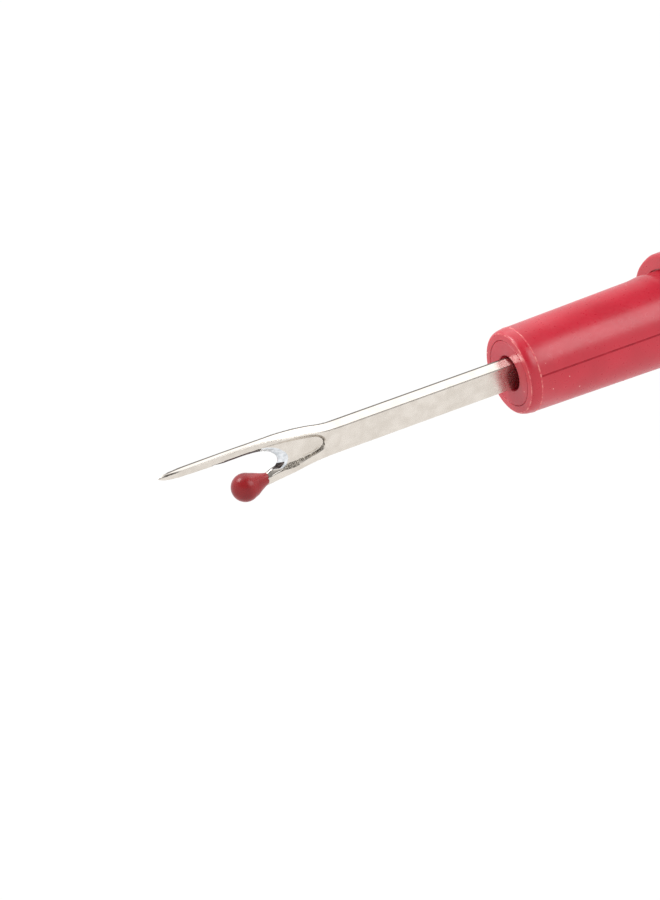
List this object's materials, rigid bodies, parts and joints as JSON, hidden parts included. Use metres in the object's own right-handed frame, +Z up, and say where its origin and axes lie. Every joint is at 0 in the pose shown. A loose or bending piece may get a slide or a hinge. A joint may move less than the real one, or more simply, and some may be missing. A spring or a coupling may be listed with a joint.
{
  "type": "seam ripper",
  "caption": "Seam ripper with a forked steel blade: a long pointed prong, a short prong with a bead and a sharp notch between, held in a red moulded handle with a round neck and flats.",
  "frame": {"origin": "middle of the tool's length and width, on the plane that the grip's lower flat rests on", "axes": "+X along the tool from the blade's point to the tail, +Z up with the long prong uppermost, +Y to complete a right-handed frame, square to the blade's flat sides"},
  "size_m": [0.1336, 0.0144, 0.0129],
  "materials": {
    "blade_steel": "bright nickelled steel, fine tumbled grain, satin on the coined fork",
    "bead_plastic": "glossy dipped plastic, deep red",
    "plug_plastic": "moulded plastic, red, satin gloss",
    "handle_plastic": "moulded plastic, red, satin gloss",
    "tail_plastic": "moulded plastic, red, satin gloss"
  },
  "bodies": {
    "root": {"blade": "blade_steel", "ball_tip": "bead_plastic", "blade_plug": "plug_plastic", "handle": "handle_plastic", "tail_plug": "tail_plastic"}
  },
  "joints": []
}
